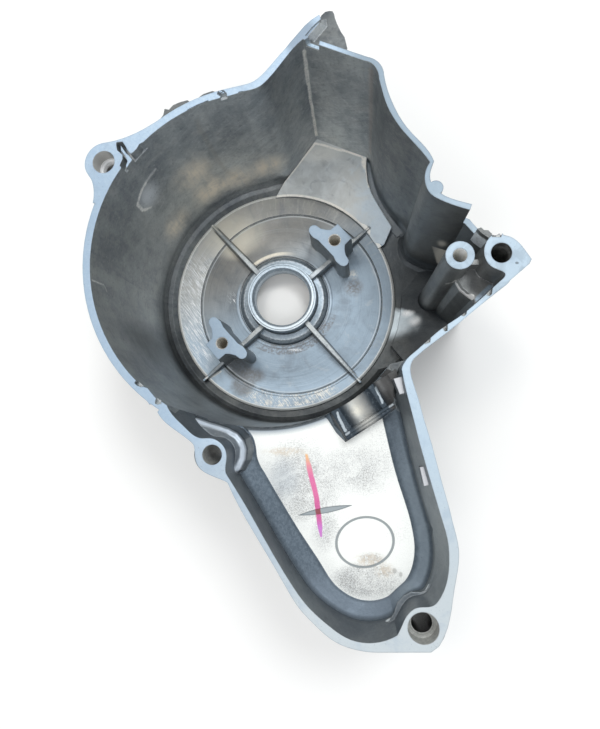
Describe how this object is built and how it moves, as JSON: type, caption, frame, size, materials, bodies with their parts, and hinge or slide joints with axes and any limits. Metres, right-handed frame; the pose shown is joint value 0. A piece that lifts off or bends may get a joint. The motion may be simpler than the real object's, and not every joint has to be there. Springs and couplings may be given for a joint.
{
  "type": "engine side cover",
  "caption": "Cast aluminium engine side cover: deep round cup with centre bore and stator seats, angular side pockets, shallow tray lobe and a machined mating rim.",
  "frame": {"origin": "on the centre bore's axis, in the plane of the outer face that the cover lies on", "axes": "+Z along the centre bore, out of the open side towards the engine; +X towards the ear beside the tall post; the tray lobe runs off towards -Y"},
  "size_m": [0.1603, 0.2279, 0.084],
  "materials": {
    "casting": "as-cast die casting, machined rim, bore and seats"
  },
  "bodies": {
    "root": {"cover_casting": "casting"}
  },
  "joints": []
}
